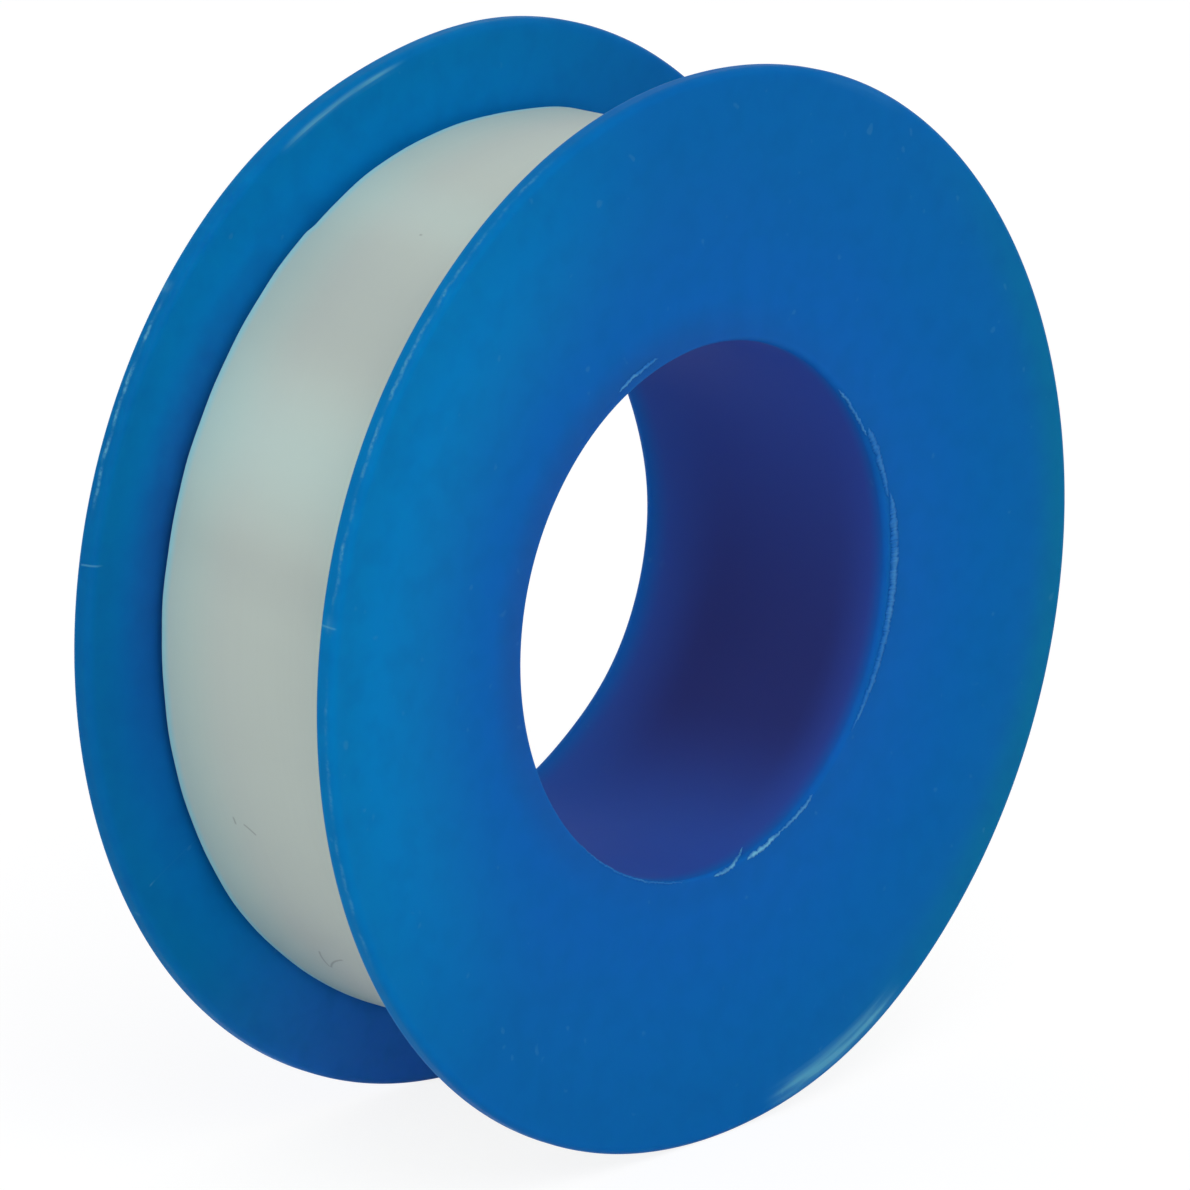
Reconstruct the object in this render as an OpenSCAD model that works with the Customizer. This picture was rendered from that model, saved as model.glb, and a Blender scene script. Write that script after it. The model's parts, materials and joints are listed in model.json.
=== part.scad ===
// Thread seal tape on a two-piece moulded spool.
// The spool's axis is Y and its middle is the origin, so it stands on its two rims.
// The front half carries the inner tube, the rear half slides over it, and the tape is wound on the rear half's tube.

/* [Flanges] */
// Depth of each flange beyond the drum: it makes the flanges 50 mm across
flange_depth = 10.65; // [8:0.05:16]
// Thickness of each flange
flange_t = 1.1; // [0.9:0.05:2]
// How far each rim stands out past the end of the hub
flange_dish = 0.45; // [0:0.05:1]
// Width of the flat ring at each rim
rim_land = 2.4; // [1:0.1:4]
// Width of the flat ring round the drum, where the dish begins
hub_land = 0.8; // [0.3:0.1:2]
// Rounding of the edges of each rim
rim_round = 0.35; // [0.1:0.05:0.4]

/* [Hub] */
// Diameter of the bore through the hub
bore_d = 24.8; // [20:0.1:28]
// Rounding of the two mouths of the bore
mouth_round = 0.3; // [0.1:0.05:0.6]
// Wall of the inner tube, which carries the front flange
inner_wall = 1; // [0.9:0.05:1.6]
// Wall of the outer tube, which carries the rear flange
outer_wall = 0.9; // [0.7:0.05:1.6]
// Clearance between the two tubes
tube_gap = 0.05; // [0.02:0.01:0.1]
// Height of the snap bead round the inner tube
bead_h = 0.25; // [0.1:0.05:0.4]
// Radius of the snap bead's section
bead_r = 0.5; // [0.45:0.05:0.8]
// Distance of the snap bead from the inner tube's free end
bead_in = 3.5; // [2:0.1:6]
// Lead-in at the seam on the rear face
seam_lead = 0.2; // [0.05:0.05:0.3]

/* [Tape] */
// Width of the tape
tape_w = 12.7; // [10:0.1:25]
// Play between the tape and each flange at the drum
tape_play = 0.1; // [0.05:0.05:0.5]
// Share of the flanges' depth that the wound tape fills
tape_fill = 0.615; // [0.3:0.005:0.8]
// Thickness of the tape
tape_t = 0.1; // [0.05:0.01:0.2]
// Gap between the outer turns, and between the drum and the tape
lay_gap = 0.05; // [0.03:0.01:0.1]
// Length of the free end that lifts off
end_len = 16; // [8:0.5:30]
// Where the free end is rooted, in degrees from +X towards +Z
end_angle = 0; // [0:5:355]

/* [Hidden] */

bore_r = bore_d / 2;
tube_r = bore_r + inner_wall;
sleeve_r = tube_r + tube_gap;
drum_r = sleeve_r + outer_wall;
flange_r = drum_r + flange_depth;

// Half lengths along the axis: the gap between the flanges, the hub and the rims
gap_h = tape_w / 2 + tape_play;
hub_h = gap_h + flange_t;
rim_h = hub_h + flange_dish;

// The dish runs between these two radii
dish_from = drum_r + hub_land;
dish_to = flange_r - rim_land;

// The snap bead is part of a ring of this section, and its groove is wider by the tubes' clearance
bead_centre = [tube_r - bead_r + bead_h, bead_in - hub_h];

// The tape: a pack of turns, then one more turn that ends in the free end
tape_r = drum_r + flange_depth * tape_fill;
turn_pitch = tape_t + lay_gap;
pack_r = tape_r - 2 * turn_pitch;
pack_bore_r = drum_r + lay_gap;
turn_from = end_angle - 360;
end_arc = end_len / tape_r * 180 / PI;
end_slit = lay_gap / tape_r * 180 / PI;

// Fineness of the curves
arc_steps = 6;
dish_steps = 12;
turn_sides = 120;
$fn = 96;

spool_blue = [0.03, 0.38, 0.66];
tape_white = [0.84, 0.87, 0.85];

// Points of an arc about c, from one angle to another
function arc(c, r, from, to) =
    [for (i = [0:arc_steps]) let (a = from + (to - from) * i / arc_steps) c + r * [cos(a), sin(a)]];

function reversed(points) = [for (i = [len(points) - 1:-1:0]) points[i]];

// A flange's face from the drum to the rim's land, at height h by the drum: it eases out by the dish
function flange_face(h) =
    [for (i = [0:dish_steps]) let (s = i / dish_steps)
        [dish_from + (dish_to - dish_from) * s, h + flange_dish * s * s * (3 - 2 * s)]];

// A flange's outline as radius and height: outer face, rounded rim, inner face
function flange_outline() = concat(
    flange_face(hub_h),
    arc([flange_r - rim_round, rim_h - rim_round], rim_round, 90, 0),
    arc([flange_r - rim_round, rim_h - flange_t + rim_round], rim_round, 0, -90),
    reversed(flange_face(gap_h))
);

// The snap bead's arc where it crosses the radius edge_r, for a section of radius r
function bead_arc(r, edge_r) =
    let (half = acos((edge_r - bead_centre[0]) / r)) arc(bead_centre, r, half, -half);

// Radius of the outer turn's inner face at an angle: one pitch more for each turn
function turn_r(a) = pack_r + lay_gap + turn_pitch * (a - turn_from) / 360;

// Points along the outer turn between two angles, set out by a distance from its inner face
function turn_points(from, to, out) =
    let (step = 360 / turn_sides, n = ceil((to - from) / step))
    [for (i = [0:n]) let (a = min(from + i * step, to)) (turn_r(a) + out) * [cos(a), sin(a)]];

// Least distance between two lists of points
function least_gap(p, q) = min([for (a = p) min([for (b = q) norm(a - b)])]);

module front_turned() { rotate([90, 0, 0]) rotate_extrude() children(); }
module rear_turned() { rotate([-90, 0, 0]) rotate_extrude() children(); }

// A strip of tape between two angles, standing across the spool
module tape_strip(from, to) {
    rotate([90, 0, 0])
        linear_extrude(height = tape_w, center = true)
            polygon(concat(turn_points(from, to, 0), reversed(turn_points(from, to, tape_t))));
}

// Front flange and the inner tube, in one moulding
module front_spool_half() {
    color(spool_blue)
        front_turned()
            polygon(concat(
                arc([bore_r + mouth_round, hub_h - mouth_round], mouth_round, 180, 90),
                flange_outline(),
                [[tube_r, gap_h]],
                bead_arc(bead_r, tube_r),
                [[tube_r, seam_lead - hub_h], [tube_r - seam_lead, -hub_h]],
                arc([bore_r + mouth_round, mouth_round - hub_h], mouth_round, 270, 180)
            ));
}

// Rear flange and the outer tube that the tape is wound on, in one moulding
module rear_spool_half() {
    groove_r = bead_r + tube_gap;
    color(spool_blue)
        rear_turned()
            polygon(concat(
                [[sleeve_r, hub_h - seam_lead], [sleeve_r + seam_lead, hub_h]],
                flange_outline(),
                [[drum_r, gap_h], [drum_r, -gap_h], [sleeve_r, -gap_h]],
                [for (p = bead_arc(groove_r, sleeve_r)) [p[0], -p[1]]]
            ));
}

// All the turns of tape under the last one
module tape_pack() {
    color(tape_white)
        rear_turned()
            translate([pack_bore_r, -tape_w / 2])
                square([pack_r - pack_bore_r, tape_w]);
}

// The last whole turn of tape
module tape_outer_turn() {
    color(tape_white) tape_strip(turn_from, end_angle);
}

// The free end of the tape, which lies on the start of the last turn
module tape_free_end() {
    color(tape_white) tape_strip(end_angle + end_slit, end_angle + end_arc);
}

echo("least gap of the free end to the turn under it, in mm", least_gap(
    turn_points(end_angle + end_slit, end_angle + end_arc, 0),
    turn_points(turn_from, turn_from + end_arc, tape_t)
));

front_spool_half();
rear_spool_half();
tape_pack();
tape_outer_turn();
tape_free_end();
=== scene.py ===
"""Dresses a roll of thread seal tape: two moulded blue spool halves, the wound tape and its free end.

The roll stands on its rims. Its axis is Y, the front flange is on the -Y side, and angles round the axis
run from +X towards +Z, as they do in the part's source. Lengths are in metres.
"""

import json
import math
from typing import NamedTuple

import bpy
import numpy as np
from bpy.props import FloatProperty, FloatVectorProperty, IntProperty, PointerProperty
from bpy.types import Operator, Panel, PropertyGroup
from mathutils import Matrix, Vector


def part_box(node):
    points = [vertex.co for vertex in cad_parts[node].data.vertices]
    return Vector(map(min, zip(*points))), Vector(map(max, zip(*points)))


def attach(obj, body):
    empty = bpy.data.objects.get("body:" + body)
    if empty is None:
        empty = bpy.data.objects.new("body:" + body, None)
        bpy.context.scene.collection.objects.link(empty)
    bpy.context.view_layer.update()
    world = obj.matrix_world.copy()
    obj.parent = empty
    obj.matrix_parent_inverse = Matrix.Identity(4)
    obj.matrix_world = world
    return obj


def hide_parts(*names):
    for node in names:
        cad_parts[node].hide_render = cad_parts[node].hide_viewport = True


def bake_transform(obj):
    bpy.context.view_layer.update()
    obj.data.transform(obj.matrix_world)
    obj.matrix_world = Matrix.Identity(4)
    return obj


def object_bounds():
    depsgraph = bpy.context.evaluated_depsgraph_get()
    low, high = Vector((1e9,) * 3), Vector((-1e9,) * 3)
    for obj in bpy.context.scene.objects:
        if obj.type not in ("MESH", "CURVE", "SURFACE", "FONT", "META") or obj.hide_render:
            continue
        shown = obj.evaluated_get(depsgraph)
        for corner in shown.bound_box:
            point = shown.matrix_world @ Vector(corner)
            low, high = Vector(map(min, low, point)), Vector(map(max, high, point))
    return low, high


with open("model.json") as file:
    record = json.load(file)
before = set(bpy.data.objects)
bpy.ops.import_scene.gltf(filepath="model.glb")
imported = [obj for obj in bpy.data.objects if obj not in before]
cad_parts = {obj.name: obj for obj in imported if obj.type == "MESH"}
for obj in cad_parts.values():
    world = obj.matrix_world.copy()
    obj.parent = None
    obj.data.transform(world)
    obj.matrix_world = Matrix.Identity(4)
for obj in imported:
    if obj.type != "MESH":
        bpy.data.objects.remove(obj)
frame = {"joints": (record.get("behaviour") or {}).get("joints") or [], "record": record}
CAD_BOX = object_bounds()

bl_info = {
    "name": "Thread seal tape roll",
    "version": (1, 0, 0),
    "blender": (4, 5, 0),
    "location": "View3D > Sidebar > Tape roll",
    "description": "Builds the spool, the wound tape and the stage of a thread seal tape roll",
    "category": "Object",
}

MM = 0.001
WHITE = (1.0, 1.0, 1.0, 1.0)
FRONT_LOW, FRONT_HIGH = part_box("front_spool_half")
PACK_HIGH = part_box("tape_pack")[1]
HUB_BORE = next(mount for mount in frame["record"]["mounts"] if mount["name"] == "hub_bore")
END_HINGE = next(joint for joint in frame["joints"] if joint["name"] == "tape_end_lift")
# How far before its root the free end's mesh starts, and how unevenly its tip is torn
END_OVERLAP = 8 * MM
TORN_BACK = 0.8 * MM
# How much of what the eye sees of the floor is its own glow
FLOOR_GLOW_SHARE = 0.75
# Width of the camera's sensor in millimetres
SENSOR_WIDTH = 36.0


class Marks(NamedTuple):
    """What makes one half differ from a perfect moulding, and its painted light and shade. Angles are in
    degrees.

    lit_sides, teal_sides and bounce_sides: middle and strength of its sides with painted light, its greener
    sides, and its sides with painted light bounced from the floor.
    tape_shade: middle, half width and strength of places where painted shade darkens its inner face beside
    the tape.
    edge_shade: how much painted shade darkens its rim's edge.
    rim_line: first and last angle and strength of spans where a broken pale line shows round the rim's edge.
    line_place: how many millimetres on from the rim's outer edge that line runs.
    scrapes_and_glints: first and last angle, then in millimetres the place in from the rim's radius, the
    place in from its outer plane and the width, and the strength. They are scrapes, and painted glints on the
    rim's rounding.
    uneven: angle, half width and millimetres of places where the rim swells.
    """

    lit_sides: tuple
    teal_sides: tuple
    bounce_sides: tuple
    tape_shade: tuple
    edge_shade: float
    rim_line: tuple
    line_place: float
    scrapes_and_glints: tuple
    uneven: tuple


FRONT_MARKS = Marks(
    lit_sides=((165, 1.0),),
    teal_sides=((-10, 1.0), (165, 0.3)),
    bounce_sides=(),
    tape_shade=(),
    edge_shade=0.1,
    rim_line=((116, 130, 0.3), (131, 166, 0.65), (176, 206, 0.3), (20, 46, 0.4), (-124, -100, 0.3)),
    line_place=0.0,
    scrapes_and_glints=(
        (-79, -60, 0.66, 0.00, 0.36, 1.35),
        (168.8, 170.0, 0.02, 0.55, 0.25, 0.3),
        (60, 72, 0.30, 0.00, 0.20, 0.12),
    ),
    uneven=((155, 20, 0.18), (292, 16, 0.16), (88, 20, -0.08)),
)
REAR_MARKS = Marks(
    lit_sides=((120, 1.0), (252, 0.9)),
    teal_sides=((120, 0.3), (200, 0.5)),
    bounce_sides=((285, 1.0),),
    # Painted shade beside the tape
    tape_shade=((163, 30, 0.68),),
    edge_shade=0.3,
    rim_line=((143, 163, 0.95), (250, 290, 0.5), (-30, 10, 0.5)),
    line_place=0.2,
    scrapes_and_glints=(
        (103, 118, 0.31, 1.09, 0.085, 2.1),
        (139.4, 140.4, 0.02, 0.35, 0.25, 1.2),
        (-20, 30, 0.50, 0.00, 0.25, 0.6),
        (230, 244, 0.40, 0.00, 0.20, 0.5),
    ),
    uneven=((103, 16, -0.27), (292, 20, 0.08)),
)
# Fine scratches across a rim's edge and on to its inner face: angle in degrees, first and last millimetre
# along the section from the rim's outer edge, strength
RIM_SCRATCHES = ((169.7, -0.32, 1.1, 0.5), (207.5, 1.3, 1.9, 0.6))
# Places where the bore isn't round: angle and half width in degrees, millimetres outward, and the end that
# it is at, 1 for the front mouth and -1 for the rear one
BORE_UNEVEN = ((158, 34, 0.09, 1), (20, 16, -0.18, -1), (-57, 17, -0.25, -1))


class Sliver(NamedTuple):
    """A sliver of thin flash on the front mouth of the bore.

    first and last are angles in degrees. places holds, for its first end, its middle and its last end, the
    millimetres along the mouth's section from the end of the bore's wall: on the wall below 0, over the
    rounding and then out on the face above 0. widths holds the millimetres at both ends. pale is how
    whitened it is.
    """

    first: float
    last: float
    places: tuple
    widths: tuple
    pale: float


MOUTH_FLASH = (
    Sliver(-38.0, 14.0, (0.44, 0.67, 0.77), (0.24, 0.64), 0.27),
    Sliver(13.0, 30.5, (0.55, 0.54, 0.53), (0.26, 0.44), 0.25),
    Sliver(29.0, 44.0, (0.29, 0.27, 0.25), (0.16, 0.16), 0.36),
    Sliver(105.5, 118.0, (0.60, 0.60, 0.57), (0.20, 0.18), 0.42),
    Sliver(-88.0, -75.0, (0.30, 0.20, -0.40), (0.26, 0.12), 0.70),
    Sliver(-77.5, -66.0, (0.36, 0.36, 0.35), (0.28, 0.20), 0.95),
    Sliver(-66.5, -54.5, (0.35, 0.39, 0.37), (0.16, 0.22), 0.55),
    Sliver(-133.0, -97.0, (0.10, 0.12, 0.13), (0.10, 0.12), 0.22),
)
# Where the last turn stands loose, and where it bows aside: angle and half width in degrees, millimetres
LOOSE_PLACES = ((72, 9, 0.30), (257, 14.5, 0.46))
BOWED_PLACES = ((196, 9, 0.07), (230, 13, 0.12))
# Bands of painted light, then of painted shade, along the last turn: first and last angle in degrees, and how
# strongly the film looks cooler in the first and duller in the second
LIT_BANDS = ((146, 160, 0.85), (112, 120, 0.35), (300, 316, 0.6), (40, 52, 0.5))
SHADED_BANDS = (
    (124, 142, 0.8), (164, 171, 0.45), (206, 216, 0.3), (216, 258, 1.0),
    (266, 284, 0.6), (350, 372, 0.5), (66, 84, 0.5),
)
# Hair-fine creases in the tape: angle in degrees, place across and length in millimetres, slant in degrees
TAPE_CREASES = (
    (202.5, 2.5, 0.85, -38.0),
    (201.7, 3.35, 0.5, -88.0),
    (227.5, 3.0, 1.9, 72.0),
    (227.7, 2.35, 2.4, 40.0),
    (119.8, 0.42, 0.25, 0.0),
)


class Lamp(NamedTuple):
    """A square soft lamp: its direction from the roll, and its distance and side in metres."""

    direction: tuple
    distance: float
    side: float


KEY_LAMP = Lamp((-0.35, -0.60, 0.75), 0.7, 0.45)
FILL_LAMP = Lamp((-0.85, -0.45, 0.15), 0.7, 0.3)


def length_setting(name, description, default):
    """A property that holds a length in metres."""
    return FloatProperty(name=name, description=description, default=default, unit="LENGTH")


def colour_setting(name, description, default):
    """A property that holds a colour."""
    return FloatVectorProperty(name=name, description=description, default=default, subtype="COLOR", size=3)


class SpoolSettings(PropertyGroup):
    """Sizes and colours of the two moulded halves of the spool."""

    flange_radius: length_setting("Flange radius", "From the axis to the rim", FRONT_HIGH.x)
    rim_half: length_setting("Rim plane", "From the middle to a rim's outer plane", -FRONT_LOW.y)
    hub_half: length_setting("Hub end", "From the middle to the hub's end", FRONT_HIGH.y)
    bore_radius: length_setting("Bore radius", "Radius of the open hub", HUB_BORE["dims"]["r_mm"] * MM)
    bore_half: length_setting(
        "Bore wall", "From the middle to the end of the straight bore wall",
        HUB_BORE["dims"]["length_mm"] / 2 * MM,
    )
    flange_thickness: length_setting("Flange thickness", "Thickness of each flange", 1.1 * MM)
    rim_land: length_setting("Rim land", "Width of the flat ring at the rim", 2.4 * MM)
    hub_land: length_setting("Hub land", "Width of the flat ring round the drum", 0.8 * MM)
    rim_round: length_setting("Rim rounding", "Radius of the rim's edges", 0.35 * MM)
    inner_wall: length_setting("Inner tube wall", "Wall of the front half's tube", 1.0 * MM)
    outer_wall: length_setting("Outer tube wall", "Wall of the rear half's tube", 0.9 * MM)
    tube_gap: length_setting("Tube gap", "Clearance between the two tubes", 0.05 * MM)
    back_round: length_setting("Back rounding", "Radius of the bore's rear mouth", 0.6 * MM)
    seam_lead: length_setting("Seam lead-in", "Bevel at the seam on the rear face", 0.2 * MM)
    warp: length_setting("Warp", "How far the rims wander from flat", 0.03 * MM)
    steps: IntProperty(name="Steps", description="Steps round the axis", default=640, min=64)
    flange_colour: colour_setting("Flange colour", "Plastic over the tape", (0.004, 0.138, 0.51))
    rim_colour: colour_setting("Rim colour", "Thin plastic clear of the tape", (0.002, 0.148, 0.465))
    # Painted light: the paler blue on the flanges' lit sides
    painted_glow_colour: colour_setting("Glow colour", "Paler side of the moulding", (0.0005, 0.224, 0.58))
    teal_colour: colour_setting("Teal colour", "Greener side of the rim", (0.002, 0.176, 0.375))
    # Painted light bounced from the floor, low on the rear flange
    bounce_colour: colour_setting("Violet colour", "More violet low side", (0.03, 0.20, 0.74))
    # Painted shade on the rim's edge and beside the tape; also the darker ring round the bore's front mouth
    edge_colour: colour_setting("Edge colour", "Plastic round the rim's edge", (0.002, 0.10, 0.34))
    # The doubled hub's own colour, with painted shade, deep in the bore
    hub_and_shade_colour: colour_setting("Hub colour", "Plastic of the doubled hub", (0.036, 0.080, 0.39))
    shadow_colour: colour_setting("Hub shade", "Darkest part of the bore's wall", (0.029, 0.041, 0.195))
    # Whitened plastic of scuffs and scratches, also used for painted glints on the rims' rounding
    scuff_and_glint_colour: colour_setting("Scuff colour", "Whitened plastic", (0.10, 0.38, 0.58))
    flash_colour: colour_setting("Flash colour", "Thin flash at the bore's mouth", (0.17, 0.51, 0.76))


class TapeSettings(PropertyGroup):
    """Sizes and colours of the tape."""

    width_half: length_setting("Half width", "Half of the tape's width", PACK_HIGH.y)
    pack_radius: length_setting("Pack radius", "Over the turns under the last one", PACK_HIGH.x)
    outer_radius: length_setting(
        "Outer radius", "Over the last turn at the free end's root", END_HINGE["pos_m"][0]
    )
    thickness: length_setting("Thickness", "Thickness of the tape", 0.1 * MM)
    end_length: length_setting("Free end", "Length of the end that lifts", 16 * MM)
    end_curl: length_setting("End curl", "How far the tip stands off the roll", 0.5 * MM)
    bend_length: length_setting("Bend", "Length over which the lifted end bends", 6 * MM)
    steps: IntProperty(name="Steps", description="Steps round a whole turn", default=720, min=64)
    colour: colour_setting("Tape colour", "Colour of the tape", (0.60, 0.69, 0.615))
    # Paler, cooler film in bands of painted light
    lit_band_colour: colour_setting("Cool band", "Colour where the film is drawn thin", (0.60, 0.775, 0.70))
    edge_colour: colour_setting("Tape edge", "Colour along the tape's edges", (0.38, 0.85, 0.86))
    # Painted blue light bounced from the flanges on the tape's sides
    flange_bounce_colour: colour_setting("Blue cast", "Cast on the tape beside the flanges", (0.56, 0.98, 0.76))
    # Darker film: random clouds, and bands of painted shade
    shade_colour: colour_setting("Tape shade", "Colour where turns lie closer", (0.52, 0.59, 0.54))
    crease_colour: colour_setting("Crease colour", "Colour in a crease", (0.09, 0.11, 0.10))


class StageSettings(PropertyGroup):
    """Camera, floor and light."""

    azimuth: FloatProperty(
        name="Azimuth", description="Camera's turn about Z", default=math.radians(-47.85), subtype="ANGLE"
    )
    elevation: FloatProperty(
        name="Elevation", description="Camera's height angle", default=math.radians(15.70), subtype="ANGLE"
    )
    distance: length_setting("Distance", "Camera to aim point", 425.8 * MM)
    lens: FloatProperty(name="Lens", description="Focal length in millimetres", default=282.2)
    aim: FloatVectorProperty(
        name="Aim", description="Point in the middle of the picture",
        default=(0.21 * MM, -0.47 * MM, -0.57 * MM), subtype="XYZ", size=3,
    )
    floor_half: length_setting("Floor", "Half of the floor's side", 3.0)
    floor_colour: colour_setting("Floor colour", "Colour of the floor", (0.86, 0.86, 0.86))
    floor_glow: FloatProperty(
        name="Floor glow", description="Level at which the floor shows to the eye", default=1.15
    )
    ambient: FloatProperty(name="Ambient", description="Level of light from all round", default=0.57)
    key: FloatProperty(name="Key light", description="Power of the main lamp in watts", default=1.3)
    fill: FloatProperty(name="Fill light", description="Power of the side lamp in watts", default=0.5)


# Shapes


def smooth_step(low, high, value):
    """0 below low, 1 above high, and 3t^2 - 2t^3 between them; low may be the larger."""
    t = np.clip((value - low) / (high - low), 0.0, 1.0)
    return t * t * (3 - 2 * t)


def ripple(angle, counts, seed):
    """A sum of cosines with whole counts round the axis and seeded phases, scaled to about -1 to 1."""
    counts = np.asarray(counts)
    phases = np.random.default_rng(seed).uniform(0, 2 * np.pi, len(counts))
    return np.cos(np.multiply.outer(angle, counts) + phases).sum(-1) / len(counts) ** 0.5


def degrees_off(angle, middle):
    """How far an angle in radians is from one in degrees, the short way round: -180 to 180 degrees."""
    return (np.degrees(angle) - middle + 180) % 360 - 180


def bell(angle, middle, half_width):
    """A bell curve round the axis: e to the minus square of degrees off the middle over half width."""
    return np.exp(-((degrees_off(angle, middle) / half_width) ** 2))


def bells(angle, places):
    """The sum of the bell curves of places round the axis, each times its height."""
    return sum(height * bell(angle, middle, half_width) for middle, half_width, height in places)


def windows(angle, spans, soft):
    """The sum over the spans of strength times a window: 1 inside a span, easing to 0 in soft degrees."""
    total = np.zeros_like(angle)
    for first, last, strength in spans:
        half = (last - first) / 2
        fade = min(soft, half)
        off = np.abs(degrees_off(angle, (first + last) / 2))
        total += strength * smooth_step(half + fade, half - fade, off)
    return total


def sides(angle, spots):
    """The sum over the spots of strength times a soft window on the cosine of the angle off the spot.

    The window is 1 at the spot and 0 from about 70 degrees off it, where the cosine is 0.35.
    """
    total = np.zeros_like(angle)
    for middle, strength in spots:
        total += strength * smooth_step(0.35, 1.0, np.cos(angle - math.radians(middle)))
    return total


def line(start, end, count):
    """Points from start up to end, closest at both: the share along is (1 - cos) / 2. The end is left out."""
    share = (1 - np.cos(np.linspace(0, np.pi, count + 1)[:-1])) / 2
    return np.asarray(start) + share[:, None] * (np.asarray(end) - np.asarray(start))


def arc(centre, radius, start, end, count):
    """Points on a circle about centre from one angle to another, in degrees. The end is left out."""
    a = np.radians(np.linspace(start, end, count + 1)[:-1])
    return np.asarray(centre) + radius * np.stack([np.cos(a), np.sin(a)], axis=1)


def turned(radius, height, angle):
    """Points turned about the axis: x = radius times cos a, y = height, z = radius times sin a."""
    places = np.broadcast_arrays(radius * np.cos(angle), height, radius * np.sin(angle))
    return np.stack(places, axis=-1).reshape(-1, 3)


def way_round(outline):
    """The way along a closed section from its first point to each point, and at last to the first again."""
    steps = np.diff(np.concatenate([outline, outline[:1]]), axis=0)
    return np.append(0, np.cumsum(np.hypot(*steps.T)))


def turned_map(outline, angle, radius):
    """The map of a section turned about the axis, corner by corner, in millimetres.

    Its first number is the way round the axis at the radius, and its second the way along the section.
    """
    over, along = np.append(angle, 2 * np.pi) * radius / MM, way_round(outline) / MM
    i, j = np.arange(len(along) - 1)[:, None], np.arange(len(over) - 1)[None, :]
    u = np.stack(np.broadcast_arrays(over[j], over[j + 1], over[j + 1], over[j]), axis=-1)
    v = np.stack(np.broadcast_arrays(along[i], along[i], along[i + 1], along[i + 1]), axis=-1)
    return np.stack(np.broadcast_arrays(u, v), axis=-1).reshape(-1, 4, 2)


def quads(rows, columns, wrap_rows, wrap_columns):
    """Corners of the quads of a grid of points, with either direction joined up to its start if it wraps."""
    i = np.arange(rows if wrap_rows else rows - 1)[:, None]
    j = np.arange(columns if wrap_columns else columns - 1)[None, :]
    up, over = (i + 1) % rows, (j + 1) % columns
    corners = [i * columns + j, i * columns + over, up * columns + over, up * columns + j]
    return np.stack(np.broadcast_arrays(*corners), axis=-1).reshape(-1, 4)


def outward(points, faces):
    """The order of corners that turns a closed mesh outward: reversed if the sum of a . (b x c) is below 0.

    The sum runs over the two triangles of each quad.
    """
    a, b, c, d = (points[faces[:, corner]] for corner in range(4))
    volume = np.einsum("ij,ij->i", a, np.cross(b, c)).sum() + np.einsum("ij,ij->i", a, np.cross(c, d)).sum()
    return slice(None, None, 1 if volume > 0 else -1)


def add_mesh(name, points, faces, material, uv=None, closed=True, **values):
    """Makes a smooth mesh object from points and quads, with a map at each corner and floats at each point.

    A closed mesh is turned to face outward.
    """
    order = outward(points, faces) if closed else slice(None)
    faces = faces[:, order]
    mesh = bpy.data.meshes.new(name)
    mesh.vertices.add(len(points))
    mesh.vertices.foreach_set("co", points.astype(np.float32).ravel())
    mesh.loops.add(faces.size)
    mesh.loops.foreach_set("vertex_index", faces.astype(np.int32).ravel())
    mesh.polygons.add(len(faces))
    mesh.polygons.foreach_set("loop_start", np.arange(0, faces.size, 4, dtype=np.int32))
    mesh.polygons.foreach_set("use_smooth", np.ones(len(faces), bool))
    for key, value in values.items():
        layer = mesh.attributes.new(key, "FLOAT", "POINT")
        layer.data.foreach_set("value", value.astype(np.float32).ravel())
    if uv is not None:
        layer = mesh.uv_layers.new(name="surface")
        layer.data.foreach_set("uv", uv[:, order].astype(np.float32).ravel())
    mesh.update(calc_edges=True)
    mesh.validate()
    piece = bpy.data.objects.new(name, mesh)
    piece.data.materials.append(material)
    bpy.context.scene.collection.objects.link(piece)
    return piece


def drum_radius(spool):
    """The radius that the tape is wound on: the bore, both tubes' walls and the gap between them."""
    return spool.bore_radius + spool.inner_wall + spool.tube_gap + spool.outer_wall


def flange_inside(spool):
    """From the middle to a flange's inner face by the drum."""
    return spool.hub_half - spool.flange_thickness


def flange_outline(spool):
    """A flange's half section as radius and height: outer face, rounded rim and inner face.

    Each face is flat by the drum and at the rim, and between them its height eases out by the dish as
    3t^2 - 2t^3.
    """
    dish_from, dish_to = drum_radius(spool) + spool.hub_land, spool.flange_radius - spool.rim_land
    dish = spool.rim_half - spool.hub_half
    radius, rim = spool.flange_radius, spool.flange_radius - spool.rim_round
    outer, inner = spool.rim_half, spool.rim_half - spool.flange_thickness
    outer_round, inner_round = outer - spool.rim_round, inner + spool.rim_round

    def dished(shares, height):
        """Points on a face at shares of the way out over its dish, with its height by the drum."""
        rise = dish * shares**2 * (3 - 2 * shares)
        return np.stack([dish_from + (dish_to - dish_from) * shares, rise + height], axis=1)

    return np.concatenate([
        dished(np.linspace(0, 1, 19)[:-1], spool.hub_half),
        line((dish_to, outer), (rim, outer), 8),
        arc((rim, outer_round), spool.rim_round, 90, 0, 7),
        line((radius, outer_round), (radius, inner_round), 4),
        arc((rim, inner_round), spool.rim_round, 0, -90, 7),
        line((rim, inner), (dish_to, inner), 8),
        dished(np.linspace(1, 0, 13)[:-1], flange_inside(spool)),
        [(dish_from, flange_inside(spool))],
    ])


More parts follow.
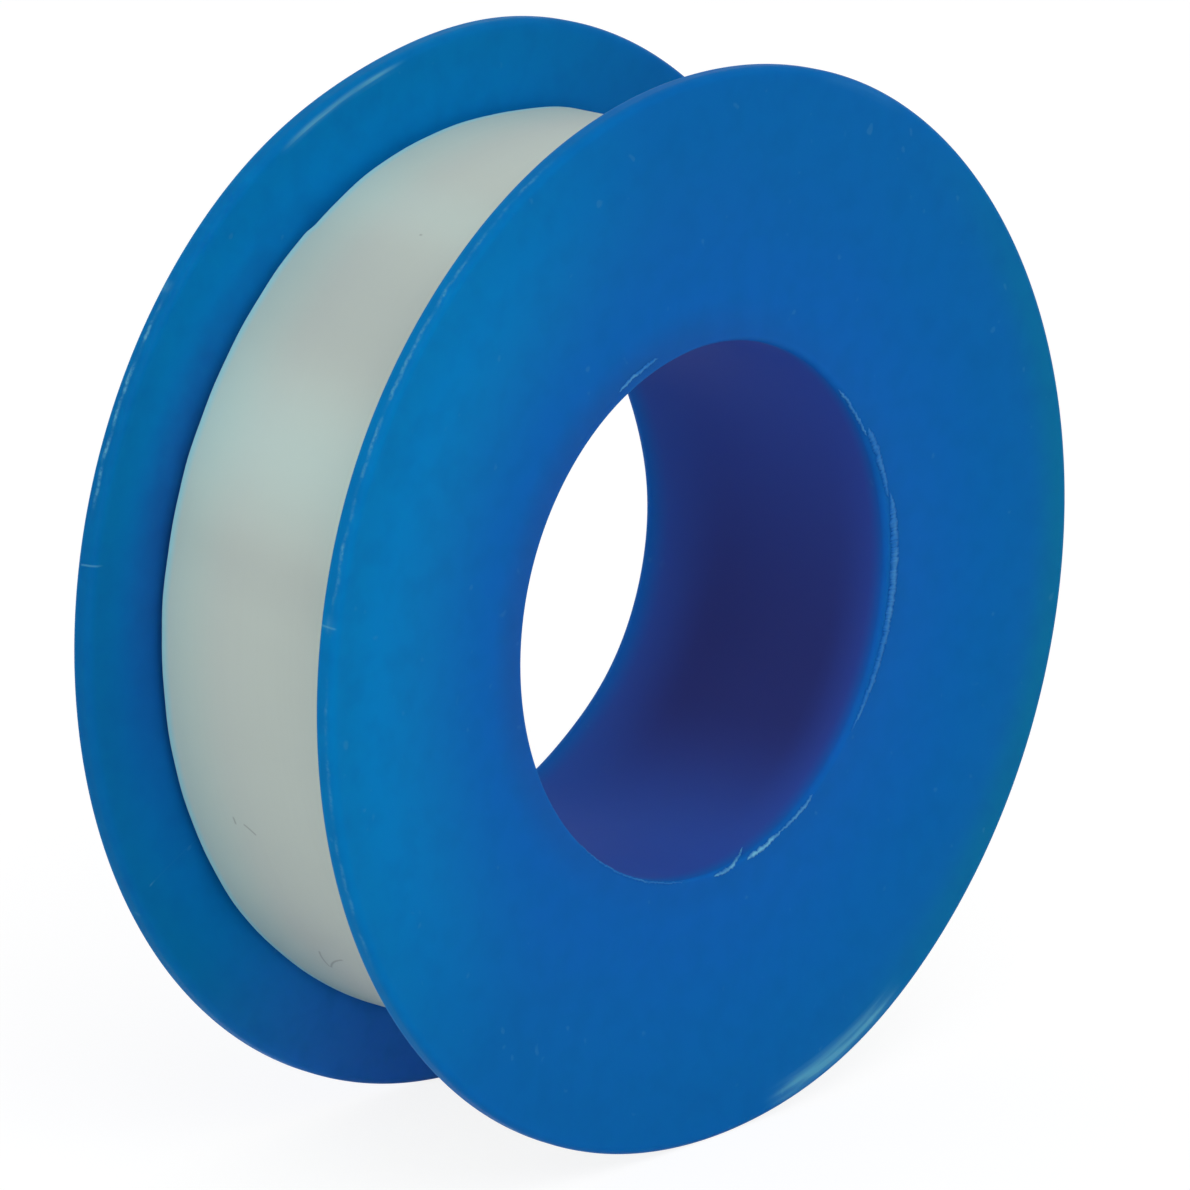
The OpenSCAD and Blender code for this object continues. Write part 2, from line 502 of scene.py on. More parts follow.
def front_outline(spool):
    """The front half's closed section: mouth of the bore, flange, tube and the tube's free end."""
    bore, hub, lead, back = spool.bore_radius, spool.hub_half, spool.seam_lead, spool.back_round
    mouth, tube = hub - spool.bore_half, bore + spool.inner_wall
    return np.concatenate([
        arc((bore + mouth, spool.bore_half), mouth, 180, 90, 9),
        line((bore + mouth, hub), (drum_radius(spool) + spool.hub_land, hub), 8),
        flange_outline(spool),
        line((tube, flange_inside(spool)), (tube, lead - hub), 4),
        line((tube, lead - hub), (tube - lead, -hub), 3),
        line((tube - lead, -hub), (bore + back, -hub), 4),
        arc((bore + back, back - hub), back, 270, 180, 10),
        line((bore, back - hub), (bore, spool.bore_half), 28),
    ])


def rear_outline(spool):
    """The rear half's closed section: seam, flange, and the tube that the tape is wound on."""
    hub, lead, drum, inside = spool.hub_half, spool.seam_lead, drum_radius(spool), flange_inside(spool)
    sleeve = spool.bore_radius + spool.inner_wall + spool.tube_gap
    return np.concatenate([
        line((sleeve, hub - lead), (sleeve + lead, hub), 3),
        line((sleeve + lead, hub), (drum + spool.hub_land, hub), 7),
        flange_outline(spool),
        line((drum, inside), (drum, -inside), 4),
        line((drum, -inside), (sleeve, -inside), 3),
        line((sleeve, -inside), (sleeve, hub - lead), 4),
    ])


def lip_share(angle):
    """The share of its full rounding that the bore's front mouth has: 1 at +X, easing to 0.3 at -X."""
    return 1 - 0.7 * smooth_step(-0.4, 0.3, -np.cos(angle))


def spool_points(outline, facing, marks, angle, spool, tape):
    """A half's closed section turned about Y, with its height times facing.

    The rim wanders from flat by a ripple, and from round by a bell curve for each uneven place; both grow as
    the square of the eased way out. The bore's wall has such places too, which ease out towards its middle.
    The rounding at the bore's front mouth shrinks towards its corner on one side.
    """
    r, h = outline[:, :1], outline[:, 1:]
    out = smooth_step(tape.outer_radius * 0.75, spool.flange_radius, r) ** 2
    mouth = spool.hub_half - spool.bore_half
    lip = (r < spool.bore_radius + 1.01 * mouth) & (h > spool.bore_half - 0.001 * MM)
    soft = np.where(lip, lip_share(angle), 1)
    height = spool.hub_half - (spool.hub_half - h) * soft
    height = height + spool.warp * out * ripple(angle, (2, 3, 5), 3 + int(facing))
    radius = spool.bore_radius + (r - spool.bore_radius) * soft
    for middle, half_width, swell in marks.uneven:
        radius = radius + swell * MM * out * bell(angle, middle, half_width)
    by_bore = smooth_step(spool.bore_radius + 0.9 * MM, spool.bore_radius + 0.1 * MM, r)
    for middle, half_width, swell, end in BORE_UNEVEN:
        by_end = by_bore * smooth_step(0, spool.bore_half, end * h)
        radius = radius + swell * MM * by_end * bell(angle, middle, half_width)
    return turned(radius, facing * height, angle)


def bore_shading(r, h, angle, spool):
    """How deep in the bore a point of the wall is, and how dark: both ease out at the wall's two ends. Depth
    brings the hub's colour and painted shade, and darkness a deeper painted shade.

    The wall is a little less deep at its foot. It is darkest at -30 degrees and lightens faster below that.
    """
    wall = smooth_step(spool.bore_radius + 0.3 * MM, spool.bore_radius + 0.05 * MM, r)
    from_front, from_back = spool.bore_half - h, spool.bore_half + h
    foot = 1 - 0.15 * smooth_step(0.6, 1.0, -np.sin(angle))
    by_back = 0.85 * smooth_step(-0.1 * MM, 1.65 * MM, from_back) + 0.15 * smooth_step(0, 6 * MM, from_back)
    deep = wall * smooth_step(-0.35 * MM, 0.75 * MM, from_front) * foot * by_back
    off = degrees_off(angle, -30)
    dark_side = np.where(off < 0, smooth_step(52, 8, -off), smooth_step(76, 0, off))
    shaded = deep * smooth_step(-0.6 * MM, 3 * MM, from_front) * smooth_step(0, 5 * MM, from_back) * dark_side
    return deep, shaded


def spool_shading(outline, marks, angle, spool, tape):
    """What a half's looks follow, for each point of its section at each angle.

    thin is 1 where the flange stands clear of the tape. glow is painted light on the lit sides, violet
    painted light bounced from the floor, and teal is 1 at the rim on its greener sides. deep is 1 on the
    bore's wall away from its ends and less round its lip; it brings the hub's colour and painted shade.
    shaded is 1 on the wall's darkest part. line is the millimetres along the section from the rim's pale
    line. edge is how much painted shade darkens the rim's edge and the places beside the tape, and how dark
    the ring round the bore's lip is. worn is how strongly the pale line shows, and scrape is high on scraped
    places and on painted glints.
    """
    r, h = outline[:, :1], outline[:, 1:]
    ones = np.ones((len(outline), len(angle)))
    bore, rim = spool.bore_radius, spool.flange_radius
    thin = smooth_step(bore + 1 * MM, rim - 2 * MM, r) * ones
    by_rim = smooth_step(rim - 3 * MM, rim - 0.4 * MM, r)
    # The bore's wall: the hub's colour with painted shade, darkest on its shaded side
    deep, shaded = bore_shading(r, h, angle, spool)
    scrape = np.zeros_like(ones)
    # Scrapes, and painted glints along the rims' rounding
    for first, last, inward, below, width, strength in marks.scrapes_and_glints:
        away = np.hypot(r - rim + inward * MM, h - spool.rim_half + below * MM)
        scrape += np.exp(-((away / (width * MM)) ** 2)) * windows(angle, ((first, last, strength),), soft=3)
    travel = way_round(outline)[:-1]
    corner = np.hypot(outline[:, 0] - rim, outline[:, 1] - spool.rim_half + spool.rim_round).argmin()
    from_edge = np.clip((travel - travel[corner]) / MM, -2, 2)[:, None] * ones
    # Painted shade on the rim's edge
    edge = marks.edge_shade * smooth_step(-0.45, -0.1, from_edge) * smooth_step(1.05, 0.6, from_edge)
    near_bore = smooth_step(bore + 2.3 * MM, bore + 0.2 * MM, r) * (h > 0)
    halo = smooth_step(-0.2, 1.0, np.cos(angle - math.radians(150)))
    edge = edge + near_bore * (0.12 + 0.42 * halo)
    deep = np.maximum(deep, near_bore * (0.05 + 0.18 * halo))
    inner_face = smooth_step(spool.hub_half - 0.2 * MM, spool.hub_half - 0.6 * MM, h)
    beside = inner_face * smooth_step(tape.outer_radius + 2.7 * MM, tape.outer_radius - 0.1 * MM, r)
    # Painted shade on the inner face beside the tape
    for middle, half_width, strength in marks.tape_shade:
        tape_shade = strength * beside * bell(angle, middle, half_width)
        edge = edge + tape_shade
        deep = deep + 0.3 * tape_shade
    return {
        "thin": thin,
        # Painted light on the lit sides
        "glow": thin * sides(angle, marks.lit_sides),
        "teal": by_rim * sides(angle, marks.teal_sides),
        # Painted light bounced from the floor, low on the rear flange
        "violet": thin * sides(angle, marks.bounce_sides),
        "deep": deep,
        "shaded": shaded,
        "line": from_edge - marks.line_place,
        "edge": edge,
        "worn": windows(angle, marks.rim_line, soft=3) * ones,
        "scrape": scrape,
    }


def spool_half(name, outline, facing, marks, spool, tape, material):
    """One moulded half: its section turned about Y, with the map and the values that its looks follow."""
    angle = np.linspace(0, 2 * np.pi, spool.steps, endpoint=False)
    points = spool_points(outline, facing, marks, angle, spool, tape)
    faces = quads(len(outline), len(angle), True, True)
    surface = turned_map(outline, angle, spool.flange_radius)
    shading = spool_shading(outline, marks, angle, spool, tape)
    return add_mesh(name, points, faces, material, surface, **shading)


def mouth_flash(spool, material):
    """Slivers of flash round the front mouth of the bore: low ridges with a six-sided section.

    A sliver is carried round the axis. Its place runs along the quadratic through its three places, its width
    tapers to both ends as one minus the sixth power of the way from the middle, and ripples fray both. The
    ridge stands square on the mouth's section.
    """
    section = np.array([(-0.5, -1.0), (-0.42, 0.5), (0.0, 1.0), (0.42, 0.5), (0.5, -1.0), (0.0, -1.2)])
    crest = np.array([0.0, 0.3, 1.0, 0.3, 0.0, 0.0])
    cap = np.array([(0, 1, 2, 3), (0, 3, 4, 5)])
    rows_per_degree = 12
    points, faces, pale = [], [], []
    for number, sliver in enumerate(MOUTH_FLASH):
        rows = rows_per_degree * round(sliver.last - sliver.first)
        share = np.linspace(0, 1, rows)[:, None]
        angle = np.radians(sliver.first + (sliver.last - sliver.first) * share)
        start, middle, end = sliver.places
        place = start + (4 * middle - 3 * start - end) * share + 2 * (start + end - 2 * middle) * share**2
        place = place + 0.025 * ripple(angle, (41, 67, 101, 211, 337), 31 + number)
        coarse = ripple(angle, (97, 131, 173), 11 + number)
        fine = ripple(angle, (311, 407, 523, 691), 21 + number)
        frayed = np.clip(1 + 0.15 * coarse + 0.14 * fine, 0.3, 2)
        taper = np.clip(1 - (2 * share - 1) ** 6, 0.05, 1)
        width = (sliver.widths[0] + (sliver.widths[1] - sliver.widths[0]) * share) * taper * frayed
        mouth = (spool.hub_half - spool.bore_half) * lip_share(angle)
        way = (place + section[:, 0] * width) * MM
        turn = np.clip(way / mouth, 0, np.pi / 2)
        lift = section[:, 1] * (0.03 + 0.15 * width) * MM
        on_face = np.maximum(way - mouth * np.pi / 2, 0)
        radius = spool.bore_radius + mouth * (1 - np.cos(turn)) + on_face - lift * np.cos(turn)
        height = spool.hub_half - mouth * (1 - np.sin(turn)) + np.minimum(way, 0) + lift * np.sin(turn)
        ridge = [quads(rows, len(section), False, True), cap[:, ::-1], cap + (rows - 1) * len(section)]
        faces.append(np.concatenate(ridge) + sum(map(len, points)))
        points.append(turned(radius, -height, angle))
        pale.append(sliver.pale * np.tile(crest, rows))
    points, faces, pale = (np.concatenate(parts) for parts in (points, faces, pale))
    return add_mesh("bore_mouth_flash", points, faces, material, pale=pale)


def slack(angle, across):
    """How far the last turn stands off its round: swells and a bulge on the -X side, and the loose places."""
    degrees = np.degrees(angle) % 360
    quiet = smooth_step(60, 90, degrees) * smooth_step(345, 310, degrees)
    swell = 0.022 * ripple(angle, (7, 11, 17), 21) + 0.012 * across * ripple(angle, (9, 13), 22)
    bulge = 0.075 * bell(angle, 164, 9) * (1 - 0.25 * across)
    return (quiet * (swell + bulge + 0.01) + bells(angle, LOOSE_PLACES)) * MM


def lying_aside(angle):
    """How far the last turn lies to the rear: on its -X half, more at the bowed places, and by a ripple."""
    degrees = np.degrees(angle) % 360
    far_half = smooth_step(121.5, 123.5, degrees) * smooth_step(330, 290, degrees)
    aside = (0.15 + bells(angle, BOWED_PLACES)) * far_half - 0.03
    return (aside + 0.02 * ripple(angle, (5, 13, 23, 41), 33)) * MM


def strip_section(count):
    """A flat strip's closed section: place across from -1 to 1, and height in thicknesses.

    The outer face comes first, then the inner. A point close to each edge keeps the edge's smooth shading off
    the strip's faces.
    """
    across = np.concatenate([[-1], np.linspace(-0.998, 0.998, count - 2), [1]])
    outer = np.stack([across, np.ones(count)], axis=1)
    return np.concatenate([outer, outer[::-1] * (1, 0)])


def end_caps(rows, columns):
    """Quads that close a strip's two ends: each joins two points of the outer face to those below them."""
    j = np.arange(columns // 2 - 1)
    end = np.stack([j, j + 1, columns - 2 - j, columns - 1 - j], axis=1)
    return np.concatenate([end[:, ::-1], end + (rows - 1) * columns])


def tape_strip(name, tape, first, last, curl, ragged, material):
    """Carries the strip's section round a spiral: the inner radius grows by one pitch for each whole turn.

    first and last are angles in radians from the free end's root. curl lifts the last part of the way by the
    square of its eased share, and ragged draws the end back unevenly across the strip, as a torn end is. The
    strip lies a little aside on one half of the turn, and its edges wander with it. A row close to each end
    keeps the smooth shading of the closing faces off the strip.
    """
    pitch = (tape.outer_radius - tape.pack_radius) / 2
    section = strip_section(count=43)
    count = max(24, int(tape.steps * (last - first) / (2 * np.pi)))
    close = 0.002 * MM / tape.outer_radius
    along = np.concatenate([[first], np.linspace(first + close, last - close, count - 2), [last]])[:, None]
    across, level = section[None, :, 0], section[None, :, 1]
    torn = 0.35 + 0.3 * ripple(np.pi * across, (1, 2, 5), 31) + 0.2 * ripple(np.pi * across, (11, 17, 29), 32)
    torn = np.clip(torn + 0.35 * across, 0, 2) * ragged / tape.outer_radius
    share = (along - first) / (last - first)
    angle = along - torn * share**8
    lift = curl * smooth_step(0.55, 1.0, share) ** 2
    radius = tape.outer_radius - tape.thickness + pitch * angle / (2 * np.pi) + level * tape.thickness
    radius = radius + slack(angle, across) + lift
    place = across * (tape.width_half - 0.02 * MM) + lying_aside(angle)
    faces = np.concatenate([quads(count, len(section), False, True), end_caps(count, len(section))])
    surface = np.stack(np.broadcast_arrays(angle * tape.outer_radius, across * tape.width_half), axis=-1) / MM
    slanted = angle + 0.04 * across
    return add_mesh(
        name, turned(radius, place, angle), faces, material, surface.reshape(-1, 2)[faces],
        # Bands of painted light and painted shade along the last turn
        cool=windows(slanted, LIT_BANDS, soft=7), dull=windows(slanted, SHADED_BANDS, soft=7),
    )


def wound_ring(spool, tape, material):
    """The turns under the last one: a ring with rounded edges whose sides step in and out with the radius."""
    drum = drum_radius(spool) + 0.05 * MM
    outside, half, soft = tape.pack_radius, tape.width_half, 0.06 * MM
    radii = np.linspace(outside - soft, drum, 41)
    uneven = 0.03 * MM * (1 + ripple(radii / MM, (5, 9, 14), 41)) / 2
    side = np.stack([radii, half - uneven], axis=1)
    rim = arc((outside - soft, half - soft), soft, 0, 90, 4)
    outline = np.concatenate([
        line((outside, -half + soft), (outside, half - soft), 12),
        rim,
        side,
        side[::-1] * (1, -1),
        rim[:0:-1] * (1, -1),
    ])
    angle = np.linspace(0, 2 * np.pi, tape.steps // 2, endpoint=False)
    points = turned(outline[:, :1], outline[:, 1:], angle)
    faces = quads(len(outline), len(angle), True, True)
    plain = np.zeros(len(points))
    surface = turned_map(outline, angle, outside)
    return add_mesh("wound_turns", points, faces, material, surface, cool=plain, dull=plain)


# Materials


def colour(rgb):
    """A socket's colour from a property."""
    return (*rgb, 1.0)


class Value:
    """A shader socket that takes part in Python arithmetic: each operator adds one Math node."""

    def __init__(self, graph, socket):
        self.graph = graph
        self.socket = socket

    def __add__(self, other):
        return self.graph.math("ADD", self, other)

    def __sub__(self, other):
        return self.graph.math("SUBTRACT", self, other)

    def __rsub__(self, other):
        return self.graph.math("SUBTRACT", other, self)

    def __mul__(self, other):
        return self.graph.math("MULTIPLY", self, other)

    def __abs__(self):
        return self.graph.math("ABSOLUTE", self)

    __radd__ = __add__
    __rmul__ = __mul__


class Graph:
    """Builds a node tree: every node comes from node(), and arithmetic on what it returns adds Math nodes."""

    def __init__(self, owner):
        owner.use_nodes = True
        self.owner = owner
        self.tree = owner.node_tree
        self.tree.nodes.clear()

    def node(self, kind, settings=None, sockets=None, outlet=0):
        """Adds a node, sets its settings, then its sockets by name or identifier, and returns one outlet."""
        made = self.tree.nodes.new(kind)
        for key, setting in (settings or {}).items():
            setattr(made, key, setting)
        for key, value in (sockets or {}).items():
            socket = next(s for s in made.inputs if key in (s.identifier, s.name))
            if isinstance(value, Value):
                self.tree.links.new(value.socket, socket)
            else:
                socket.default_value = value
        if not made.outputs:
            return None
        if isinstance(outlet, int):
            return Value(self, made.outputs[outlet])
        return Value(self, next(s for s in made.outputs if outlet in (s.identifier, s.name)))

    def math(self, operation, *values):
        """A Math node on one to three values."""
        names = ("Value", "Value_001", "Value_002")
        return self.node("ShaderNodeMath", {"operation": operation}, dict(zip(names, values)))

    def coats(self, base, *coats):
        """A colour with others laid over it in turn, each given as its share and its colour."""
        shade = colour(base)
        for share, tint in coats:
            sockets = {"Factor_Float": share, "A_Color": shade, "B_Color": colour(tint)}
            shade = self.node("ShaderNodeMix", {"data_type": "RGBA"}, sockets, "Result_Color")
        return shade

    def ease(self, value, low, high):
        """0 at low and 1 at high, eased at both ends."""
        sockets = {"Value": value, "From Min": low, "From Max": high}
        return self.node("ShaderNodeMapRange", {"interpolation_type": "SMOOTHSTEP"}, sockets)

    def noise(self, place, scale, detail=2.0, stretch=(1.0, 1.0, 1.0)):
        """Noise from 0 to 1, with scale lumps to a unit of length, drawn out where stretch is low."""
        placed = self.node("ShaderNodeMapping", None, {"Vector": place, "Scale": stretch})
        return self.node("ShaderNodeTexNoise", None, {"Vector": placed, "Scale": scale, "Detail": detail})

    def attribute(self, name):
        """A float that the mesh carries at its points."""
        return self.node("ShaderNodeAttribute", {"attribute_name": name}, None, "Fac")

    def finish(self, shader, kind="ShaderNodeOutputMaterial"):
        """Links a shader to the tree's output, and returns the material or world that the tree is for."""
        self.node(kind, None, {"Surface": shader})
        return self.owner


def moulded_plastic(spool):
    """Smooth moulded plastic, in blues that follow the values that the mesh carries.

    It is violet near the hub, and violet with painted light bounced from the floor low on the rear half. It
    is greener at the thin rim, paler with painted light on one side, and dark with painted shade in the bore,
    at the rim's edge and beside the tape. Broad clouds and a fine grain vary it. A pale line along the rim's
    edge wanders and breaks, scraped places and painted glints show fine streaks along the rim, and a scratch
    is pale within a hair's width of its angle.
    """
    graph = Graph(bpy.data.materials.new("moulded_blue_plastic"))
    place = graph.node("ShaderNodeTexCoord", outlet="Object")
    turning = graph.node("ShaderNodeUVMap", {"uv_map": "surface"})
    clouds = graph.noise(place, 130, 3) - 0.5
    mottle = graph.noise(place, 800, 2) - 0.5
    grain = graph.noise(place, 2400, 2)
    deep, from_edge = graph.attribute("deep"), graph.attribute("line")
    specks = graph.ease(graph.noise(place, 1300, 1), 0.73, 0.8) * (1 - deep)
    wander = graph.noise(turning, 0.8, 1, (1.0, 0.0, 0.0)) - 0.5
    breaks = graph.ease(graph.noise(turning, 0.8, 4, (1.0, 0.2, 1.0)), 0.40, 0.60) * 1.05 + 0.1
    fuzz = graph.ease(graph.noise(turning, 5, 3), 0.34, 0.62) * 0.85 + 0.2
    hair = graph.ease(abs(from_edge + wander * 0.3), 0.16, 0.0) * breaks * fuzz
    streaks = graph.ease(graph.noise(turning, 2.6, 3, (0.06, 1.0, 1.0)), 0.35, 0.65)
    # Pale marks: the rim's line, scrapes with painted glints, and specks
    pale = graph.attribute("worn") * hair + graph.attribute("scrape") * (streaks * 0.7 + 0.3) + specks * 0.12
    along = graph.node("ShaderNodeSeparateXYZ", None, {"Vector": turning}, "X")
    for angle, first, last, strength in RIM_SCRATCHES:
        middle = math.radians(angle % 360) * spool.flange_radius / MM
        off = abs(along - middle + from_edge * 0.06)
        inside = graph.ease(from_edge, first, first + 0.2) * graph.ease(from_edge, last, last - 0.6)
        pale = graph.ease(off, 0.07, 0.01) * inside * strength + pale
    shade = graph.coats(
        spool.flange_colour,
        (graph.attribute("thin") + clouds * 0.4 + mottle * 0.25, spool.rim_colour),
        # Painted light on the lit sides
        (graph.attribute("glow") + mottle * 0.1, spool.painted_glow_colour),
        (graph.attribute("teal"), spool.teal_colour),
        # Painted light bounced from the floor, low on the rear flange
        (graph.attribute("violet"), spool.bounce_colour),
        # Painted shade on the rim's edge and beside the tape, and the darker ring round the bore's mouth
        (graph.attribute("edge") + mottle * 0.6 + 0.05, spool.edge_colour),
        # The hub's colour with painted shade deep in the bore, then the bore's darkest painted shade
        (deep, spool.hub_and_shade_colour),
        (graph.attribute("shaded"), spool.shadow_colour),
        (pale, spool.scuff_and_glint_colour),
    )
    bump = graph.node("ShaderNodeBump", None, {
        "Strength": 0.06, "Distance": 0.05 * MM, "Height": grain + pale,
    }, "Normal")
    return graph.finish(graph.node("ShaderNodeBsdfPrincipled", None, {
        "Base Color": shade,
        "Roughness": 0.46 + clouds * 0.08 + pale * 0.1,
        "Specular IOR Level": 0.02,
        "Subsurface Weight": 0.4,
        "Subsurface Radius": (0.1, 0.5, 1.0),
        "Subsurface Scale": 1.5 * MM,
        "Normal": bump,
    }))


def flash_plastic(spool):
    """The thin flash at the bore's mouth: the same plastic, whitened unevenly where it is stretched thin."""
    graph = Graph(bpy.data.materials.new("thin_flash_plastic"))
    place = graph.node("ShaderNodeTexCoord", outlet="Object")
    patches = graph.ease(graph.noise(place, 1100, 4), 0.34, 0.66)
    fuzz = graph.ease(graph.noise(place, 4500, 3), 0.3, 0.66)
    pale = graph.attribute("pale") * (patches * 0.6 + fuzz * 0.4 + 0.35)
    shade = graph.coats(spool.flange_colour, (pale, spool.flash_colour))
    return graph.finish(graph.node("ShaderNodeBsdfPrincipled", None, {
        "Base Color": shade,
        "Roughness": 0.45 + patches * 0.1,
        "Specular IOR Level": 0.03,
    }))


def crease_mark(graph, along, across, tape):
    """How dark a point of the strip's map is by a crease: 1 on a short, slightly bowed stroke a hair wide."""
    dark = 0.0
    for angle, middle, length, slant in TAPE_CREASES:
        ahead = along - math.radians(angle - 360) * tape.outer_radius / MM
        beside = across - middle
        cosine, sine = math.cos(math.radians(slant)), math.sin(math.radians(slant))
        down = beside * cosine + ahead * sine
        bow = ahead * cosine - beside * sine - down * down * 0.12
        inside = graph.ease(abs(down), length / 2, length / 2 - 0.12)
        hair = graph.ease(abs(bow), 0.09, 0.0)
        dark = inside * hair + dark
    return dark


def tape_film(tape):
    """Soft satin film: faint lines along its length, broad clouds, bands of painted light and shade, and a
    few hair-fine creases.

    Painted blue light, bounced from the flanges, lies on its sides, and its very edges are cooler still.
    """
    graph = Graph(bpy.data.materials.new("satin_tape_film"))
    strip = graph.node("ShaderNodeUVMap", {"uv_map": "surface"})
    along = graph.node("ShaderNodeSeparateXYZ", None, {"Vector": strip}, "X")
    across = graph.node("ShaderNodeSeparateXYZ", None, {"Vector": strip}, "Y")
    lines = graph.noise(strip, 4.0, 3, (0.02, 1.0, 1.0))
    clouds = graph.noise(strip, 0.13, 3, (1.0, 0.5, 1.0))
    fibre = graph.noise(strip, 18, 2, (0.12, 1.0, 1.0))
    dark = crease_mark(graph, along, across, tape)
    aside, half = abs(across), tape.width_half / MM
    shade = graph.coats(
        tape.colour,
        (clouds * 0.5 + lines * 0.15 - 0.2, tape.shade_colour),
        # Bands of painted shade and painted light along the last turn
        (graph.attribute("dull"), tape.shade_colour),
        (graph.attribute("cool"), tape.lit_band_colour),
        # Painted blue light bounced from the flanges on the tape's sides
        (graph.ease(aside, half - 4.2, half - 0.2) * 0.25, tape.flange_bounce_colour),
        (graph.ease(aside, half - 0.5, half) * 0.9, tape.edge_colour),
        (dark * 0.45, tape.crease_colour),
    )
    bump = graph.node("ShaderNodeBump", None, {
        "Strength": 0.12, "Distance": 0.02 * MM, "Height": lines + fibre * 0.4 - dark * 2,
    }, "Normal")
    return graph.finish(graph.node("ShaderNodeBsdfPrincipled", None, {
        "Base Color": shade,
        "Roughness": 0.46 + lines * 0.1,
        "Specular IOR Level": 0.35,
        "Subsurface Weight": 0.25,
        "Subsurface Radius": (1.0, 1.0, 0.9),
        "Subsurface Scale": 0.5 * MM,
        "Normal": bump,
    }))


def seen_by_eye(graph):
    """1 for rays from the camera and for mirror and see-through rays, which then show a white surround."""
    kinds = ("Is Camera Ray", "Is Glossy Ray", "Is Transmission Ray")
    camera, glossy, through = (graph.node("ShaderNodeLightPath", outlet=kind) for kind in kinds)
    return graph.math("MINIMUM", camera + glossy + through, 1.0)


def pale_floor(stage):
    """A matt floor that shows near white to the eye and still takes a soft shadow."""
    graph = Graph(bpy.data.materials.new("pale_floor"))
    matt = graph.node("ShaderNodeBsdfDiffuse", None, {"Color": colour(stage.floor_colour)})
    glow = graph.node("ShaderNodeEmission", None, {"Color": WHITE, "Strength": stage.floor_glow})
    sockets = {"Fac": seen_by_eye(graph) * FLOOR_GLOW_SHARE, "Shader": matt, "Shader_001": glow}
    return graph.finish(graph.node("ShaderNodeMixShader", None, sockets))


# Operators


class TAPEROLL_OT_spool(Operator):
    """Builds both moulded halves of the spool and the flash at the bore's mouth"""

    bl_idname = "taperoll.spool"
    bl_label = "Spool"

    def execute(self, context):
        spool, tape = context.scene.taperoll_spool, context.scene.taperoll_tape
        plastic = moulded_plastic(spool)
        front = spool_half("front_half", front_outline(spool), -1, FRONT_MARKS, spool, tape, plastic)
        rear = spool_half("rear_half", rear_outline(spool), 1, REAR_MARKS, spool, tape, plastic)
        flash = mouth_flash(spool, flash_plastic(spool))
        for piece in (front, rear, flash):
            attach(piece, "spool")
        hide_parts("front_spool_half")
        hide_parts("rear_spool_half")
        return {"FINISHED"}


class TAPEROLL_OT_tape(Operator):
    """Builds the wound turns, the last turn and the free end"""

    bl_idname = "taperoll.tape"
    bl_label = "Tape"

    def execute(self, context):
        spool, tape = context.scene.taperoll_spool, context.scene.taperoll_tape
        film = tape_film(tape)
        ring = wound_ring(spool, tape, film)
        root = -END_OVERLAP / tape.outer_radius
        turn = tape_strip("last_turn", tape, -2 * math.pi, root, 0.0, 0.0, film)
        tip = tape.end_length / tape.outer_radius
        end = tape_strip("free_end", tape, root, tip, tape.end_curl, TORN_BACK, film)
        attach(ring, "spool")
        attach(turn, "outer_turn")
        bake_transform(end)
        for piece, node in ((ring, "tape_pack"), (turn, "tape_outer_turn"), (end, "tape_free_end")):
            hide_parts(node)
        return {"FINISHED"}


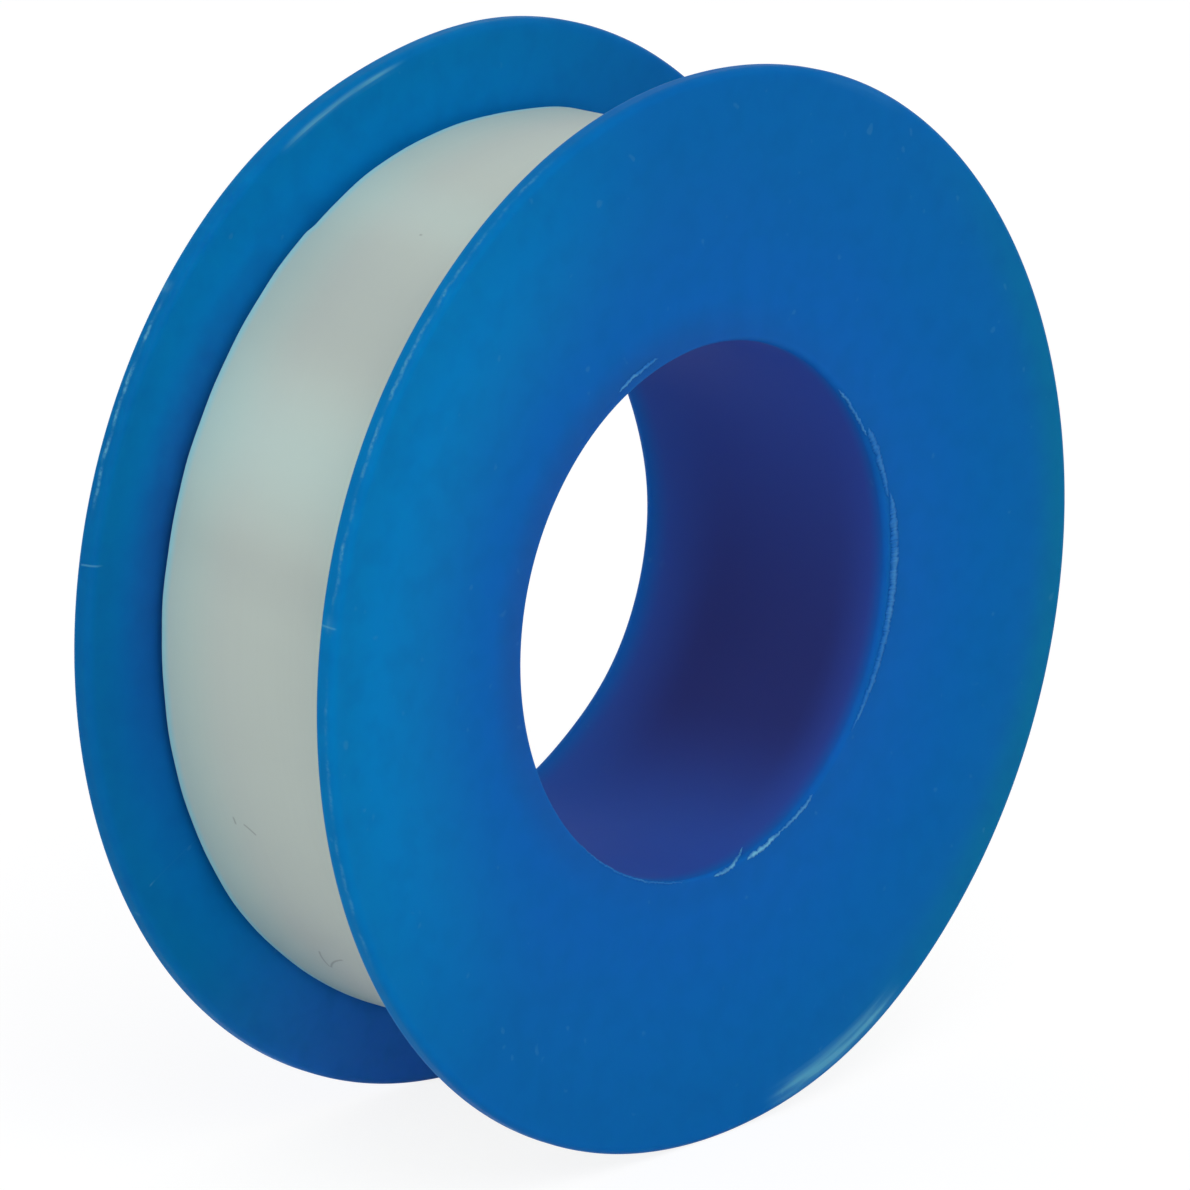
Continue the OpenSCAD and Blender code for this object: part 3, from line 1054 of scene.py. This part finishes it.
class TAPEROLL_OT_stage(Operator):
    """Builds the floor, the surround, the lamps and the camera"""

    bl_idname = "taperoll.stage"
    bl_label = "Stage"

    def execute(self, context):
        scene, stage = context.scene, context.scene.taperoll_stage
        scene.view_settings.view_transform = "Standard"
        self.add_floor(stage)
        graph = Graph(bpy.data.worlds.new("white_surround"))
        strength = seen_by_eye(graph) * (1 - stage.ambient) + stage.ambient
        surround = graph.node("ShaderNodeBackground", None, {"Color": WHITE, "Strength": strength})
        scene.world = graph.finish(surround, "ShaderNodeOutputWorld")
        self.add_lamp("key_lamp", KEY_LAMP, stage.key)
        self.add_lamp("fill_lamp", FILL_LAMP, stage.fill)
        self.add_camera(stage)
        return {"FINISHED"}

    def add_floor(self, stage):
        """A square under the rims: a grid with lines at the cubes of even steps, so closest in the middle."""
        lines = stage.floor_half * np.linspace(-1, 1, 25) ** 3
        y, x = np.meshgrid(lines, lines, indexing="ij")
        points = np.stack([x, y, np.full_like(x, CAD_BOX[0].z)], axis=-1).reshape(-1, 3)
        faces = quads(len(lines), len(lines), False, False)
        add_mesh("floor", points, faces, pale_floor(stage), closed=False)

    def place(self, name, data, towards, distance, aim=(0, 0, 0)):
        """Puts a lamp or a camera at a distance in one direction from the aim point, facing that point."""
        holder = bpy.data.objects.new(name, data)
        holder.location = Vector(aim) + towards * distance
        holder.rotation_euler = towards.to_track_quat("Z", "Y").to_euler()
        bpy.context.scene.collection.objects.link(holder)
        return holder

    def add_lamp(self, name, lamp, power):
        """A square soft lamp that faces the roll."""
        light = bpy.data.lights.new(name, "AREA")
        light.size = lamp.side
        light.energy = power
        self.place(name, light, Vector(lamp.direction).normalized(), lamp.distance)

    def add_camera(self, stage):
        """A long lens at the picture's viewing angle, aimed at the roll's middle."""
        camera = bpy.data.cameras.new("camera")
        camera.lens = stage.lens
        camera.sensor_width = SENSOR_WIDTH
        a, e = stage.azimuth, stage.elevation
        back = Vector((math.sin(a) * math.cos(e), -math.cos(a) * math.cos(e), math.sin(e)))
        bpy.context.scene.camera = self.place("camera", camera, back, stage.distance, stage.aim)


class TAPEROLL_PT_sidebar(Panel):
    """Lists the roll's settings and the steps that build it"""

    bl_idname = "TAPEROLL_PT_sidebar"
    bl_label = "Tape roll"
    bl_space_type = "VIEW_3D"
    bl_region_type = "UI"
    bl_category = "Tape roll"

    def draw(self, context):
        for step, settings, _ in STEPS:
            group = getattr(context.scene, settings)
            self.layout.operator(step.bl_idname)
            for key in group.bl_rna.properties.keys():
                if key not in ("rna_type", "name"):
                    self.layout.prop(group, key)


# The steps in order: operator, name of its settings on the scene, and their group
STEPS = (
    (TAPEROLL_OT_spool, "taperoll_spool", SpoolSettings),
    (TAPEROLL_OT_tape, "taperoll_tape", TapeSettings),
    (TAPEROLL_OT_stage, "taperoll_stage", StageSettings),
)
CLASSES = (
    SpoolSettings, TapeSettings, StageSettings,
    TAPEROLL_OT_spool, TAPEROLL_OT_tape, TAPEROLL_OT_stage, TAPEROLL_PT_sidebar,
)


def register():
    for cls in CLASSES:
        bpy.utils.register_class(cls)
    for _, settings, group in STEPS:
        setattr(bpy.types.Scene, settings, PointerProperty(type=group))


def unregister():
    for _, settings, _ in STEPS:
        delattr(bpy.types.Scene, settings)
    for cls in reversed(CLASSES):
        bpy.utils.unregister_class(cls)


def main():
    """Builds the whole scene."""
    register()
    bpy.ops.taperoll.spool()
    bpy.ops.taperoll.tape()
    bpy.ops.taperoll.stage()


if __name__ == "__main__":
    main()
